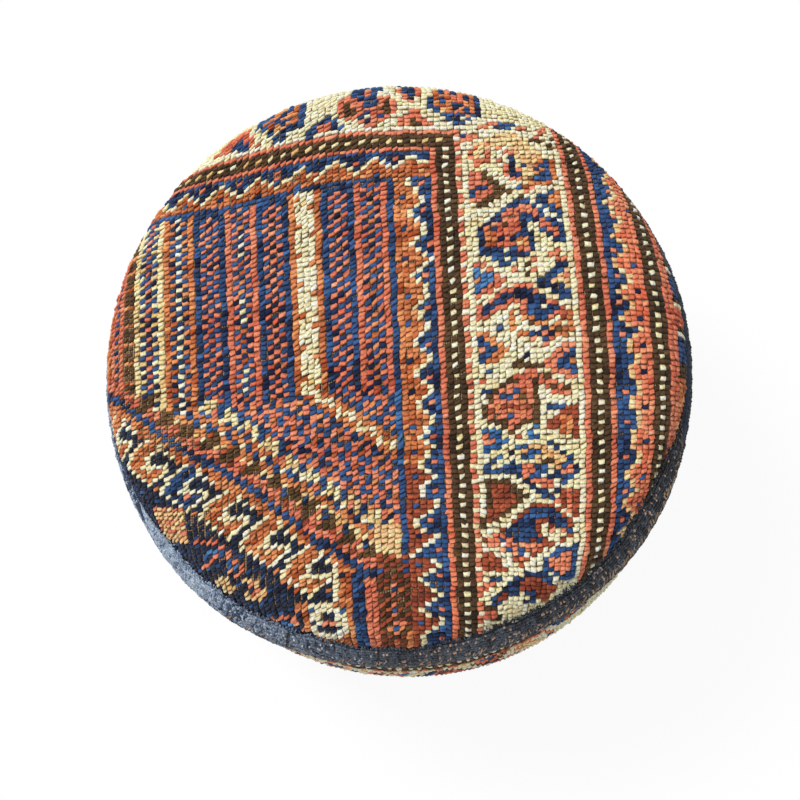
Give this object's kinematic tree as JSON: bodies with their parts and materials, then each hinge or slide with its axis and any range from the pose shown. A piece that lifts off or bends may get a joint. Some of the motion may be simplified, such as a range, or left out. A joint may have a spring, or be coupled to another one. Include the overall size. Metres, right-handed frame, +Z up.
{
  "type": "pouf",
  "caption": "Round stuffed floor pouf covered in knotted tribal rug, piped with slate velvet round its edges, with a zipped canvas base.",
  "frame": {"origin": "on the floor, under the centre of the pouf", "axes": "+Z up; -Y is the near side, the bottom of the picture; +X is the right of the picture, towards the zip's closed end"},
  "size_m": [0.416, 0.416, 0.254],
  "materials": {
    "rug_wool": "matte",
    "velvet": "matte",
    "cotton_cord": "matte",
    "canvas": "matte",
    "zip_tape": "matte",
    "zip_nylon": "satin",
    "brass": "satin",
    "muslin": "matte",
    "wadding": "matte",
    "foam": "matte"
  },
  "bodies": {
    "pouf": {"top_panel": "rug_wool", "side_panel_1": "rug_wool", "side_panel_2": "rug_wool", "side_panel_3": "rug_wool", "top_piping_velvet": "velvet", "top_piping_cord": "cotton_cord", "bottom_piping_velvet": "velvet", "bottom_piping_cord": "cotton_cord", "base_cloth_front": "canvas", "base_cloth_back": "canvas", "zip_tape_front": "zip_tape", "zip_tape_back": "zip_tape", "zip_coil_front": "zip_nylon", "zip_coil_back": "zip_nylon", "zip_top_stops": "brass", "zip_bottom_stop": "brass", "liner_top": "muslin", "liner_side": "muslin", "liner_base": "muslin", "wadding_top": "wadding", "wadding_side": "wadding", "foam_core": "foam"},
    "slider": {"zip_slider": "brass"},
    "pull": {"zip_pull": "brass"}
  },
  "joints": [
    {"name": "zip_slide", "type": "slide", "parent": "pouf", "child": "slider", "axis": [-1, 0, 0], "range_m": [0, 0.287]},
    {"name": "pull_hinge", "type": "hinge", "parent": "slider", "child": "pull", "pos_m": [0.1435, 0, 0.0043], "axis": [0, -1, 0], "range_deg": [0, 180]}
  ]
}
